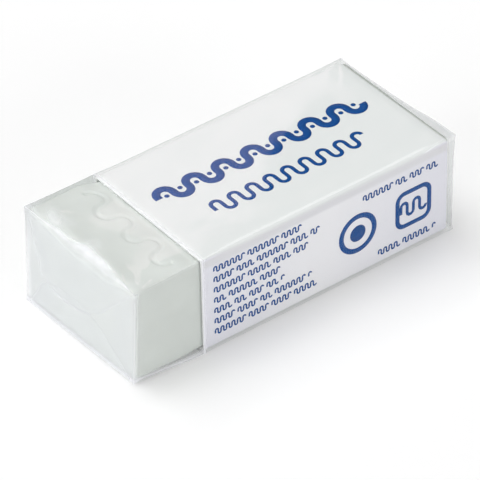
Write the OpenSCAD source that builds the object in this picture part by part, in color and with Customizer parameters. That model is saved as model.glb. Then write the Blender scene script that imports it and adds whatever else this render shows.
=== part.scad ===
// Block eraser in a folded card sleeve, overwrapped in clear film.
// X runs along the block, Y across it and Z up. The origin is at the middle of the film's flat base.

/* [Block] */
// Length of the vinyl block
block_length = 44; // [30:0.5:66]
// Width of the block
block_width = 18.7; // [14:0.1:24]
// Height of the block
block_height = 11.9; // [9:0.1:16]
// Rounding of the block's four long edges
long_edge_radius = 0.6; // [0.4:0.05:2]
// Rounding of the edges around each end of the block
end_edge_radius = 1; // [0.3:0.05:1.5]

/* [Moulded wave] */
// Number of half turns in the wave moulded across the top
wave_turns = 6; // [2:1:8]
// Radius of each half turn, on the groove's centre line
wave_radius = 1.25; // [0.7:0.05:1.6]
// Radius of the groove's round section
groove_radius = 0.35; // [0.2:0.05:0.6]
// Depth of the groove below the top
groove_depth = 0.2; // [0.1:0.05:0.3]
// Distance of the wave from the sleeve's open edge
wave_setback = 2.6; // [2.2:0.1:4]

/* [Sleeve] */
// Thickness of the card
card_thickness = 0.3; // [0.2:0.05:0.6]
// Length of block that shows at the open end
open_end_length = 9; // [7:0.5:14]
// Length of block that shows at the far end
far_end_length = 0.5; // [0.4:0.1:4]
// Slack between the card and the block on each side, and over its top
sleeve_slack = 0.1; // [0.05:0.05:0.3]
// Inner radius of the card's bends
bend_radius = 0.2; // [0.1:0.05:0.9]
// Width of the glue lap, measured across the base from the front bend
lap_width = 12; // [10:0.5:15]
// Gap between the closing panel's cut edge and the front bend
closing_edge_gap = 0.4; // [0.2:0.1:1.5]
// Depth that the glued lap and the closing panel are pressed into each other
glue_bite = 0.02; // [0.01:0.01:0.05]

/* [Film] */
// Thickness of the film
film_thickness = 0.05; // [0.03:0.01:0.1]
// Slack between the film and the card
film_slack = 0.05; // [0.02:0.01:0.2]
// Gap between the block's ends and the film
film_end_gap = 0.1; // [0.05:0.05:0.5]
// Rounding of the film over the block's end edges
film_end_radius = 0.8; // [0.3:0.05:0.9]
// Width of the seam along the base, where the film laps itself
seam_width = 5; // [3:0.5:8]
// Depth of the tucks folded in from the two sides at each end
tuck_depth = 3.8; // [2:0.1:5]
// Length of the top flap folded down over each end
top_flap_length = 8.4; // [5:0.1:8.5]
// Length of the bottom flap folded up over each end
bottom_flap_length = 5.8; // [4.8:0.1:8]
// Width of each flap at its free edge
flap_edge_width = 8; // [3:0.1:12]
// Lean of each flap's free edge towards the back
flap_lean = 2.2; // [0:0.1:2.6]

/* [Hidden] */
$fn = 64;

cavity_width = block_width + 2 * sleeve_slack;
cavity_height = block_height + sleeve_slack;
lapped_wall = 2 * card_thickness - glue_bite;
sleeve_width = cavity_width + 2 * card_thickness;
sleeve_height = cavity_height + card_thickness + lapped_wall;
sleeve_length = block_length - open_end_length - far_end_length;

film_inner_width = sleeve_width + 2 * film_slack;
film_width = film_inner_width + 2 * film_thickness;
film_inner_height = film_thickness + sleeve_height + film_slack;
film_height = film_inner_height + 2 * film_thickness;
film_inner_length = block_length + 2 * (film_end_gap + film_thickness);
film_length = film_inner_length + 2 * film_thickness;
film_long_radius = bend_radius + card_thickness + film_slack + film_thickness;

// The sleeve rests on the film's seam, and the block on the sleeve's lapped base.
sleeve_base = 2 * film_thickness;
block_base = sleeve_base + lapped_wall;
block_top = block_base + block_height;
sleeve_start_x = -block_length / 2 + open_end_length;

// A quarter of a round end, between two radii, in the first quadrant.
module quarter_ring(inner_radius, outer_radius) {
    intersection() {
        difference() {
            circle(r = outer_radius);
            circle(r = inner_radius);
        }
        square(2 * outer_radius);
    }
}

// A rectangle centred on its middle, with round corners.
module rounded_rectangle(width, height, radius) {
    square([width - 2 * radius, height], center = true);
    square([width, height - 2 * radius], center = true);
    for (side = [-1, 1], level = [-1, 1])
        translate([side * (width / 2 - radius), level * (height / 2 - radius)])
            circle(r = radius);
}

// A block centred in X and Y that stands on Z = 0. Its long edges and its end edges are rounded separately.
module rounded_block(length, width, height, long_radius, end_radius) {
    translate([0, 0, height / 2])
        intersection() {
            rotate([90, 0, 90])
                linear_extrude(length, center = true)
                    rounded_rectangle(width, height, long_radius);
            linear_extrude(height, center = true)
                rounded_rectangle(length, width, end_radius);
            rotate([90, 0, 0])
                linear_extrude(width, center = true)
                    rounded_rectangle(length, height, end_radius);
        }
}

// A strip of card laid out from the origin along X, with a right-angle bend after each flat but the last.
module folded_strip(flats, inner_radius, thickness, index = 0) {
    square([flats[index], thickness]);
    if (index < len(flats) - 1)
        translate([flats[index], thickness + inner_radius]) {
            rotate(-90)
                quarter_ring(inner_radius, inner_radius + thickness);
            rotate(90)
                translate([0, -thickness - inner_radius])
                    folded_strip(flats, inner_radius, thickness, index + 1);
        }
}

// Half of a round groove's ring, bent round the origin.
module half_ring_groove() {
    rotate_extrude(angle = 180)
        translate([wave_radius, 0])
            circle(r = groove_radius);
}

// The cutter of the moulded wave: half rings on alternate sides of the Y axis, with ball ends.
module wave_cutter() {
    first_y = -(wave_turns - 1) * wave_radius;
    for (turn = [0 : wave_turns - 1])
        translate([0, first_y + turn * 2 * wave_radius, 0])
            rotate(turn % 2 == 0 ? 90 : -90)
                half_ring_groove();
    for (side = [-1, 1])
        translate([0, side * wave_turns * wave_radius, 0])
            sphere(r = groove_radius);
}

// The soft vinyl block, with a shallow wave moulded into its top near the open end.
module eraser_block() {
    color("whitesmoke")
        difference() {
            translate([0, 0, block_base])
                rounded_block(block_length, block_width, block_height, long_edge_radius, end_edge_radius);
            translate([sleeve_start_x - wave_setback, 0, block_top + groove_radius - groove_depth])
                wave_cutter();
        }
}

// The sleeve is one strip of card: glue lap, front, top, back and closing base panel, with the lap inside.
module card_sleeve() {
    // The strip is drawn from the lap's free edge, so its flats run forward, up, back, down and forward again.
    flats = [
        lap_width,
        cavity_height - 2 * bend_radius,
        cavity_width - 2 * bend_radius,
        cavity_height + lapped_wall - card_thickness - 2 * bend_radius,
        cavity_width - 2 * bend_radius - closing_edge_gap
    ];
    lap_edge_y = lap_width + bend_radius - cavity_width / 2;
    lap_base_z = sleeve_base + lapped_wall - card_thickness;
    color("white")
        translate([sleeve_start_x, lap_edge_y, lap_base_z])
            rotate([90, 0, 90])
                linear_extrude(sleeve_length)
                    mirror([1, 0])
                        folded_strip(flats, bend_radius, card_thickness);
}

// A flap of film lying on the end face, drawn in the plane of that face.
// Its fold lies along the X axis and its narrower free edge above it. Layers counts the films in its height.
module end_flap(flap_length, layers) {
    root_width = film_width - 2 * film_long_radius;
    linear_extrude(layers * film_thickness)
        polygon([
            [-root_width / 2, film_end_radius],
            [-flap_edge_width / 2 + flap_lean, flap_length],
            [flap_edge_width / 2 + flap_lean, flap_length],
            [root_width / 2, film_end_radius]
        ]);
}

// One of the two side tucks, lying against the inside of the end face. Side is -1 for the front and 1 for the back.
module side_tuck(side) {
    tuck_middle_y = side * (film_inner_width - tuck_depth) / 2;
    intersection() {
        translate([film_inner_length / 2 - film_thickness, tuck_middle_y - tuck_depth / 2, film_thickness])
            cube([2 * film_thickness, tuck_depth, film_inner_height]);
        film_outside();
    }
}

// The tucks and flaps that close the film at the end that faces +X. The top flap lies over the bottom one.
module end_fold() {
    for (side = [-1, 1])
        side_tuck(side);
    translate([film_length / 2, 0, 0])
        rotate([90, 0, 90])
            end_flap(bottom_flap_length, 1);
    translate([film_length / 2, 0, film_height])
        rotate([90, 0, 90])
            mirror([0, 1])
                end_flap(top_flap_length, 2);
}

// The outside of the wrap, before its end flaps.
module film_outside() {
    rounded_block(film_length, film_width, film_height, film_long_radius, film_end_radius);
}

// The clear film: a closed skin with a lapped seam inside its base and folded ends.
module film_wrap() {
    color("lightcyan", 0.3) {
        difference() {
            film_outside();
            translate([0, 0, film_thickness])
                rounded_block(
                    film_inner_length,
                    film_inner_width,
                    film_inner_height,
                    film_long_radius - film_thickness,
                    film_end_radius - film_thickness
                );
        }
        translate([-block_length / 2, -seam_width / 2, film_thickness])
            cube([block_length, seam_width, film_thickness]);
        end_fold();
        mirror([1, 0, 0])
            end_fold();
    }
}

eraser_block();
card_sleeve();
film_wrap();
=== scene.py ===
"""Looks of a block eraser in a printed card sleeve, overwrapped in clear film.

X runs along the block towards its sleeved end, Y across it and Z up. All lengths are in metres.
The film's flat base lies on the floor, at Z = 0.
"""

from __future__ import annotations

import logging
import math
import random
from dataclasses import dataclass, field
from enum import Enum
from typing import Callable, Sequence

import bmesh
import bpy
from bmesh.types import BMEdge, BMesh, BMVert
from bpy.types import Material, Node, NodeSocket, Object
from mathutils import Matrix, Quaternion, Vector, noise


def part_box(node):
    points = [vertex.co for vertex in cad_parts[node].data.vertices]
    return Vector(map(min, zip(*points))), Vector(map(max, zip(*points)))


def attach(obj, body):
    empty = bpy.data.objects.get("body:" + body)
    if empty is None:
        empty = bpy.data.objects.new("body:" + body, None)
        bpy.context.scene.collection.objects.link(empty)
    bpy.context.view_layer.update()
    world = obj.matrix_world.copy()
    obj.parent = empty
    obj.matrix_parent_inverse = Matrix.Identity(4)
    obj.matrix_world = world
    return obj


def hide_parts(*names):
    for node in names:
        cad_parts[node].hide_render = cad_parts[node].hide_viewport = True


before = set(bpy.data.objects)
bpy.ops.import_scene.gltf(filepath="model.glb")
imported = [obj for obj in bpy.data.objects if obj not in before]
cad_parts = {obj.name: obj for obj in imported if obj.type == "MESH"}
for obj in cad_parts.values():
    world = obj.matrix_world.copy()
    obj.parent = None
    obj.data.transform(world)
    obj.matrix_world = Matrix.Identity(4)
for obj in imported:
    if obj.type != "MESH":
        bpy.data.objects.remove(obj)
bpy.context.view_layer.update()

log = logging.getLogger("eraser")

Colour = tuple[float, float, float, float]
Pair = tuple[float, float]

MM = 0.001
BODY = "root"
WHITE: Colour = (1.0, 1.0, 1.0, 1.0)
SHARP_ANGLE = math.radians(35)


def srgb(red: int, green: int, blue: int) -> Colour:
    """Turn a screen colour into the linear colour that a shader takes.

    Args:
        red: Red from 0 to 255.
        green: Green from 0 to 255.
        blue: Blue from 0 to 255.

    Returns:
        Linear red, green and blue, with an alpha of 1.
    """

    def linear(level: int) -> float:
        """Undo the screen's curve for one channel."""
        share = level / 255
        return share / 12.92 if share <= 0.04045 else ((share + 0.055) / 1.055) ** 2.4

    return (linear(red), linear(green), linear(blue), 1.0)


def blend_in(value: float, start: float, end: float) -> float:
    """Rise smoothly from 0 at start to 1 at end, where start may be the larger one."""
    share = min(1.0, max(0.0, (value - start) / (end - start)))
    return share * share * (3 - 2 * share)


def lerp(start: float, end: float, share: float) -> float:
    """Return the value that lies a share of the way from start to end."""
    return start + (end - start) * share


def bell(value: float, width: float) -> float:
    """Fall smoothly from 1 at zero to a third at width, on both sides."""
    return math.exp(-((value / width) ** 2))


@dataclass(frozen=True)
class Extent:
    """Lowest and highest corner of a box."""

    low: Vector
    high: Vector

    @classmethod
    def of_node(cls, node: str) -> Extent:
        """Return the box of one piece of the frame."""
        low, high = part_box(node)
        return cls(Vector(low), Vector(high))

    @property
    def middle(self) -> Vector:
        """Return the box's centre."""
        return (self.low + self.high) / 2

    def grown(self, x: float, y: float, z: float) -> Extent:
        """Return the box with each face moved outwards by its own amount."""
        step = Vector((x, y, z))
        return Extent(self.low - step, self.high + step)

    def nearest_corner(self, point: Vector) -> Vector:
        """Return the box corner that lies nearest to a point."""
        corners, middle = (self.low, self.high), self.middle
        return Vector(corners[point[axis] >= middle[axis]][axis] for axis in range(3))


class ShaderSheet:
    """The nodes of one material, with short calls that add and join them."""

    def __init__(self, name: str) -> None:
        """Start an empty material that reads Object coordinates.

        Args:
            name: The material's name.
        """
        self.material = bpy.data.materials.new(name)
        self.material.use_nodes = True
        self.tree = self.material.node_tree
        self.tree.nodes.clear()
        self.output = self.add("ShaderNodeOutputMaterial")
        self.place = self.add("ShaderNodeTexCoord").outputs["Object"]

    def add(self, kind: str, **settings: object) -> Node:
        """Add a node and set its options.

        Args:
            kind: The node's type.
            settings: Its options, by name.

        Returns:
            The node.
        """
        node = self.tree.nodes.new(kind)
        for name, value in settings.items():
            setattr(node, name, value)
        return node

    def join(self, source: NodeSocket, target: NodeSocket) -> None:
        """Link an output to an input."""
        self.tree.links.new(source, target)

    def feed(self, socket: NodeSocket, value: object) -> None:
        """Link a socket's value, or set it where it is a plain number or colour.

        Args:
            socket: The input.
            value: An output, or the plain value.
        """
        if isinstance(value, NodeSocket):
            self.join(value, socket)
        else:
            socket.default_value = value

    def speckle(self, size: float, detail: float = 2.0, stretch: Sequence[float] = (1, 1, 1)) -> NodeSocket:
        """Make soft noise with blobs of a given size.

        Args:
            size: Width of a blob, in metres.
            detail: Number of finer layers.
            stretch: How many times longer the blobs are along X, Y and Z.

        Returns:
            The noise, from 0 to 1.
        """
        mapping = self.add("ShaderNodeMapping")
        mapping.inputs["Scale"].default_value = [1 / (size * times) for times in stretch]
        self.join(self.place, mapping.inputs["Vector"])
        texture = self.add("ShaderNodeTexNoise")
        texture.inputs["Scale"].default_value = 1.0
        texture.inputs["Detail"].default_value = detail
        self.join(mapping.outputs["Vector"], texture.inputs["Vector"])
        return texture.outputs["Fac"]

    def span(
        self, value: NodeSocket, low: float, high: float, to_low: float, to_high: float
    ) -> NodeSocket:
        """Map one range of numbers to another, clamped at both ends.

        Args:
            value: The number that is mapped.
            low: Start of its range.
            high: End of its range.
            to_low: What the start becomes.
            to_high: What the end becomes.

        Returns:
            The mapped number.
        """
        node = self.add("ShaderNodeMapRange")
        for name, number in zip(("From Min", "From Max", "To Min", "To Max"), (low, high, to_low, to_high)):
            node.inputs[name].default_value = number
        self.join(value, node.inputs["Value"])
        return node.outputs["Result"]

    def mottle(self, size: float, levels: Pair, cut: float = 0.3, **noise_settings: object) -> NodeSocket:
        """Spread soft noise between two levels.

        Args:
            size: Width of a blob, in metres.
            levels: The lowest and the highest level.
            cut: How much of the noise's thin tails is cut off at each end.
            noise_settings: Detail and stretch of the noise.

        Returns:
            The level at each place.
        """
        return self.span(self.speckle(size, **noise_settings), cut, 1 - cut, *levels)

    def within(self, value: NodeSocket, stops: Sequence[float]) -> NodeSocket:
        """Build a step that is 1 between the two middle stops and falls to 0 at the outer ones.

        Args:
            value: The number that is tested.
            stops: Four rising levels of it.

        Returns:
            The step, from 0 to 1.
        """
        rising = self.span(value, stops[0], stops[1], 0.0, 1.0)
        falling = self.span(value, stops[2], stops[3], 1.0, 0.0)
        return self.arithmetic("MULTIPLY", rising, falling)

    def attribute(self, name: str) -> NodeSocket:
        """Read a number that the mesh holds at each point."""
        return self.add("ShaderNodeAttribute", attribute_name=name).outputs["Fac"]

    def arithmetic(self, operation: str, first: object, second: object) -> NodeSocket:
        """Work out one step of arithmetic.

        Args:
            operation: Its name.
            first: The first number.
            second: The second number.

        Returns:
            The result.
        """
        node = self.add("ShaderNodeMath", operation=operation)
        self.feed(node.inputs[0], first)
        self.feed(node.inputs[1], second)
        return node.outputs[0]

    def tint(self, share: object, first: object, second: object) -> NodeSocket:
        """Mix two colours.

        Args:
            share: Share of the second colour.
            first: The first colour.
            second: The second colour.

        Returns:
            The mixed colour.
        """
        node = self.add("ShaderNodeMix", data_type="RGBA")
        self.feed(node.inputs["Factor"], share)
        colours = [socket for socket in node.inputs if socket.type == "RGBA"]
        self.feed(colours[0], first)
        self.feed(colours[1], second)
        return [socket for socket in node.outputs if socket.type == "RGBA"][0]

    def relief(self, height: NodeSocket, depth: float, under: NodeSocket | None = None) -> NodeSocket:
        """Turn a height from 0 to 1 into a bumped normal.

        Args:
            height: The height.
            depth: How deep the full range is, in metres.
            under: A normal that this relief lies on.

        Returns:
            The normal.
        """
        node = self.add("ShaderNodeBump")
        node.inputs["Strength"].default_value = 1.0
        node.inputs["Distance"].default_value = depth
        self.join(height, node.inputs["Height"])
        if under is not None:
            self.join(under, node.inputs["Normal"])
        return node.outputs["Normal"]

    def blend(self, share: object, first: NodeSocket, second: NodeSocket) -> NodeSocket:
        """Mix two shaders.

        Args:
            share: Share of the second shader.
            first: The first shader.
            second: The second shader.

        Returns:
            The mixed shader.
        """
        node = self.add("ShaderNodeMixShader")
        self.feed(node.inputs[0], share)
        self.join(first, node.inputs[1])
        self.join(second, node.inputs[2])
        return node.outputs[0]

    def finish(self, shader: NodeSocket) -> Material:
        """Show a shader on the surface and return the material."""
        self.join(shader, self.output.inputs["Surface"])
        return self.material


@dataclass(frozen=True)
class VinylFinish:
    """Soft, matt, faintly see-through vinyl with a powdery skin, darkened by an attribute where shade is
    painted.
    """

    tone: Colour = srgb(229, 233, 229)
    shade: Colour = srgb(223, 227, 223)
    cloud: float = 3.5 * MM
    painted_shade_tone: Colour = srgb(124, 133, 122)
    painted_shade_attribute: str = "painted_shade"
    roughness: Pair = (0.46, 0.62)
    rough_patch: float = 0.8 * MM
    refraction: float = 1.5
    glow: float = 0.12
    glow_spread: tuple[float, float, float] = (1.0, 0.95, 0.85)
    glow_reach: float = 0.7 * MM
    grain: float = 0.09 * MM
    grain_depth: float = 0.004 * MM
    swell: float = 2.4 * MM
    swell_depth: float = 0.03 * MM

    def material(self) -> Material:
        """Build the material.

        Returns:
            The material, ready to use.
        """
        sheet = ShaderSheet("vinyl")
        shader = sheet.add("ShaderNodeBsdfPrincipled")
        clean = sheet.tint(sheet.mottle(self.cloud, (0.0, 1.0), cut=0.35, detail=3.0), self.tone, self.shade)
        swell = sheet.relief(sheet.speckle(self.swell, 1.0), self.swell_depth)
        inputs = {
            # Painted shade darkens the vinyl beside the card, on its sides and at its far end.
            "Base Color": sheet.tint(sheet.attribute(self.painted_shade_attribute), clean, self.painted_shade_tone),
            "Roughness": sheet.mottle(self.rough_patch, self.roughness, detail=3.0),
            "Subsurface Weight": self.glow,
            "Subsurface Radius": self.glow_spread,
            "Subsurface Scale": self.glow_reach,
            "IOR": self.refraction,
            "Normal": sheet.relief(sheet.speckle(self.grain), self.grain_depth, swell),
        }
        for name, value in inputs.items():
            sheet.feed(shader.inputs[name], value)
        return sheet.finish(shader.outputs["BSDF"])


@dataclass(frozen=True)
class CardFinish:
    """White coated card with a soft sheen and a trace of fibre. Its front is painted a shade darker and
    violet, with a painted lighter zone in its middle and a band of painted shade under the top fold.

    A span holds four places: the two middle ones bound its full strength, and the outer ones its soft ends.
    """

    name: str = "card"
    tone: Colour = srgb(241, 243, 242)
    shade: Colour = srgb(237, 240, 239)
    cloud: float = 2.2 * MM
    cloud_stretch: Sequence[float] = (2.5, 1, 1)
    # Painted shade and violet tint of the front face, and the painted lighter zone in its middle.
    painted_front_shade: Colour = srgb(232, 231, 239)
    painted_front_light: Colour = srgb(242, 241, 244)
    painted_light_span: Sequence[float] = (-12 * MM, 1 * MM, 5 * MM, 20 * MM)
    front_y: Pair = (-9.7 * MM, -9.5 * MM)
    # Painted shade in a band under the front's top fold.
    painted_fold_shade: Colour = srgb(225, 224, 228)
    painted_fold_span: Sequence[float] = (11.5 * MM, 11.9 * MM, 12.6 * MM, 12.75 * MM)
    roughness: Pair = (0.37, 0.47)
    rough_patch: float = 0.5 * MM
    wave: float = 6 * MM
    wave_depth: float = 0.02 * MM
    fibre: float = 0.12 * MM
    fibre_stretch: Sequence[float] = (3, 1, 1)
    fibre_depth: float = 0.002 * MM

    def material(self) -> Material:
        """Build the material.

        Returns:
            The material, ready to use.
        """
        sheet = ShaderSheet(self.name)
        shader = sheet.add("ShaderNodeBsdfPrincipled")
        place = sheet.add("ShaderNodeSeparateXYZ")
        sheet.join(sheet.place, place.inputs[0])
        cloud = sheet.mottle(self.cloud, (0.0, 1.0), detail=3.0, stretch=self.cloud_stretch)
        plain = sheet.tint(cloud, self.tone, self.shade)
        # Painted light on the front: a darker violet shade, with a painted lighter zone in the middle.
        painted_light = sheet.tint(sheet.within(place.outputs["X"], self.painted_light_span), self.painted_front_shade, self.painted_front_light)
        # Painted shade in a band just under the top fold of the front.
        panel = sheet.tint(sheet.within(place.outputs["Z"], self.painted_fold_span), painted_light, self.painted_fold_shade)
        front = sheet.span(place.outputs["Y"], *self.front_y, 1.0, 0.0)
        sheet.join(sheet.tint(front, plain, panel), shader.inputs["Base Color"])
        sheet.join(sheet.mottle(self.rough_patch, self.roughness), shader.inputs["Roughness"])
        waves = sheet.relief(sheet.speckle(self.wave, 1.0), self.wave_depth)
        fibre = sheet.relief(sheet.speckle(self.fibre, 3.0, self.fibre_stretch), self.fibre_depth, waves)
        sheet.join(fibre, shader.inputs["Normal"])
        return sheet.finish(shader.outputs["BSDF"])


@dataclass(frozen=True)
class InkFinish:
    """Offset ink, a little uneven where it sank into the card."""

    tone: Colour = srgb(0, 72, 142)
    shade: Colour = srgb(0, 79, 151)
    cloud: float = 0.25 * MM
    roughness: Pair = (0.45, 0.55)
    rough_patch: float = 0.4 * MM
    sheen: float = 0.08

    def material(self) -> Material:
        """Build the material.

        Returns:
            The material, ready to use.
        """
        sheet = ShaderSheet("ink")
        shader = sheet.add("ShaderNodeBsdfPrincipled")
        cloud = sheet.mottle(self.cloud, (0.0, 1.0), cut=0.35, detail=3.0)
        sheet.join(sheet.tint(cloud, self.tone, self.shade), shader.inputs["Base Color"])
        sheet.join(sheet.mottle(self.rough_patch, self.roughness), shader.inputs["Roughness"])
        shader.inputs["Specular IOR Level"].default_value = self.sheen
        return sheet.finish(shader.outputs["BSDF"])


@dataclass(frozen=True)
class FilmFinish:
    """Clear glossy film, whitened where it is creased or lies double and where highlights and reflections are
    painted, and darkened where shade is painted.
    """

    name: str = "film"
    haze_and_highlight_attribute: str = "crease"
    head_on_mirror: float = 0.035
    grazing_mirror: float = 1.0
    grazing_power: float = 5.0
    clear: Colour = (0.994, 0.999, 0.998, 1.0)
    whitening: Colour = srgb(250, 250, 254)
    # Painted shade: the see-through colour where the shade attribute is full.
    shade_attribute: str = "shade"
    shaded: Colour = srgb(196, 202, 198)
    see_through_haze: float = 0.15
    lamp_leak: float = 0.8
    base_haze: float = 0.002
    full_white_share: float = 0.85
    roughness: Pair = (0.025, 0.045)
    rough_patch: float = 2 * MM
    ripple: float = 2.2 * MM
    ripple_depth: float = 0.0015 * MM

    def _pane(self, sheet: ShaderSheet, see_through: NodeSocket) -> NodeSocket:
        """Build the clear film, which mirrors more the flatter it is seen.

        Args:
            sheet: The material that the film belongs to.
            see_through: The shader of what shows through it.

        Returns:
            The clear film's shader.
        """
        facing = sheet.add("ShaderNodeLayerWeight")
        facing.inputs["Blend"].default_value = 0.5
        steep = sheet.arithmetic("POWER", facing.outputs["Facing"], self.grazing_power)
        mirror = sheet.span(steep, 0.0, 1.0, self.head_on_mirror, self.grazing_mirror)
        gloss = sheet.add("ShaderNodeBsdfAnisotropic")
        rough = sheet.mottle(self.rough_patch, self.roughness, cut=0.35, detail=3.0)
        sheet.join(rough, gloss.inputs["Roughness"])
        sheet.join(sheet.relief(sheet.speckle(self.ripple), self.ripple_depth), gloss.inputs["Normal"])
        return sheet.blend(mirror, see_through, gloss.outputs[0])

    def material(self) -> Material:
        """Build the material.

        Returns:
            The material, ready to use.
        """
        sheet = ShaderSheet(self.name)
        see_through = sheet.add("ShaderNodeBsdfTransparent")
        # The shade attribute paints shade into what shows through, on the back edges and over the far end's
        # gap.
        shade = sheet.attribute(self.shade_attribute)
        sheet.join(sheet.tint(shade, self.clear, self.shaded), see_through.inputs["Color"])
        scatter = sheet.add("ShaderNodeBsdfDiffuse")
        through = sheet.add("ShaderNodeBsdfTranslucent")
        for whitened in (scatter, through):
            whitened.inputs["Color"].default_value = self.whitening
        # The haze attribute whitens creases and doubled film, and also carries painted highlights and
        # reflections.
        haze = sheet.blend(self.see_through_haze, scatter.outputs[0], through.outputs[0])
        crease = sheet.attribute(self.haze_and_highlight_attribute)
        share = sheet.span(crease, 0.0, 1.0, self.base_haze, self.full_white_share)
        film = sheet.blend(share, self._pane(sheet, see_through.outputs[0]), haze)
        shadow_ray = sheet.add("ShaderNodeLightPath").outputs["Is Shadow Ray"]
        leak = sheet.arithmetic("MULTIPLY", shadow_ray, self.lamp_leak)
        return sheet.finish(sheet.blend(leak, film, see_through.outputs[0]))


class Gloss(Enum):
    """How a piece's faces are shaded."""

    SOFT = "soft"
    CREASED = "creased"


def make_piece(name: str, bm: BMesh, materials: Sequence[Material], gloss: Gloss = Gloss.SOFT) -> Object:
    """Turn a bmesh into an object at the origin, and free the bmesh.

    Args:
        name: Name of the piece.
        bm: Its mesh, in the frame's own coordinates.
        materials: Its materials, in the order of their slots.
        gloss: Smooth all over, or split at sharp edges.

    Returns:
        The new object.
    """
    mesh = bpy.data.meshes.new(name)
    bm.to_mesh(mesh)
    bm.free()
    mesh.shade_smooth()
    if gloss is Gloss.CREASED:
        mesh.set_sharp_from_angle(angle=SHARP_ANGLE)
    for material in materials:
        mesh.materials.append(material)
    piece = bpy.data.objects.new(name, mesh)
    bpy.context.scene.collection.objects.link(piece)
    return piece


def thicken(piece: Object, thickness: float, offset: float, rim_slot: int = 0) -> None:
    """Give a sheet its thickness with a Solidify modifier.

    Args:
        piece: The sheet.
        thickness: How thick it gets.
        offset: -1 to grow inwards, 1 to grow outwards.
        rim_slot: How many material slots further the cut edges take their material from.
    """
    wall = piece.modifiers.new("thickness", "SOLIDIFY")
    wall.thickness = thickness
    wall.offset = offset
    wall.use_even_offset = True
    wall.material_offset_rim = rim_slot


def settle(piece: Object, node: str | None = None) -> None:
    """Let a piece ride on the part, and report it.

    Args:
        piece: The piece.
        node: The solid that it stands for, if any.
    """
    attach(piece, BODY)
    if node:
        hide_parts(node)
    log.info("%s: %d faces", piece.name, len(piece.data.polygons))


def stations(stops: Sequence[tuple[float, float]], end: float) -> list[float]:
    """Lay out cut positions along an axis.

    Args:
        stops: Pairs of a position and the step from there on.
        end: The last position.

    Returns:
        Positions that rise from the first stop to the end.
    """
    places: list[float] = []
    for index, (start, step) in enumerate(stops):
        stop = stops[index + 1][0] if index + 1 < len(stops) else end
        count = max(1, round((stop - start) / step))
        places += [start + (stop - start) * number / count for number in range(count)]
    return places + [end]


def verts_of(made: Sequence[object]) -> list[BMVert]:
    """Pick the vertices out of what an operator made."""
    return [item for item in made if isinstance(item, BMVert)]


def edges_of(made: Sequence[object]) -> list[BMEdge]:
    """Pick the edges out of what an operator made."""
    return [item for item in made if isinstance(item, BMEdge)]


def push_edges(bm: BMesh, edges: list[BMEdge], step: Sequence[float]) -> list[BMEdge]:
    """Extrude a run of edges into faces.

    Args:
        bm: The mesh.
        edges: The edges.
        step: How far and which way they go.

    Returns:
        The run's copies at the far side of the new faces.
    """
    made = bmesh.ops.extrude_edge_only(bm, edges=edges)["geom"]
    moved = set(verts_of(made))
    bmesh.ops.translate(bm, verts=list(moved), vec=step)
    return [edge for edge in edges_of(made) if all(vert in moved for vert in edge.verts)]


def graded_box(places: Sequence[Sequence[float]]) -> BMesh:
    """Make a box whose faces are gridded at chosen positions.

    Args:
        places: Rising positions along X, Y and Z, the box's own faces included.

    Returns:
        The gridded box.
    """
    bm = bmesh.new()
    bmesh.ops.create_cube(bm, size=1.0)
    for axis in range(3):
        along = [edge for edge in bm.edges if abs(edge.verts[0].co[axis] - edge.verts[1].co[axis]) > 0.5]
        bmesh.ops.subdivide_edges(bm, edges=along, cuts=len(places[axis]) - 2, use_grid_fill=True)
    for vert in bm.verts:
        vert.co = Vector(
            places[axis][round((vert.co[axis] + 0.5) * (len(places[axis]) - 1))] for axis in range(3)
        )
    return bm


def rounded(point: Vector, box: Extent, radii: Vector) -> tuple[Vector, Vector]:
    """Round off a box at one of its surface points.

    Args:
        point: A point on the plain box.
        box: The box.
        radii: Rounding along X, Y and Z.

    Returns:
        The point on the rounded box, and the outward normal there.
    """
    inner = Vector(
        min(max(point[axis], box.low[axis] + radii[axis]), box.high[axis] - radii[axis])
        for axis in range(3)
    )
    lean = Vector((point[axis] - inner[axis]) / radii[axis] for axis in range(3)).normalized()
    placed = inner + Vector(lean[axis] * radii[axis] for axis in range(3))
    normal = Vector(lean[axis] / radii[axis] for axis in range(3)).normalized()
    return placed, normal


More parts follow.
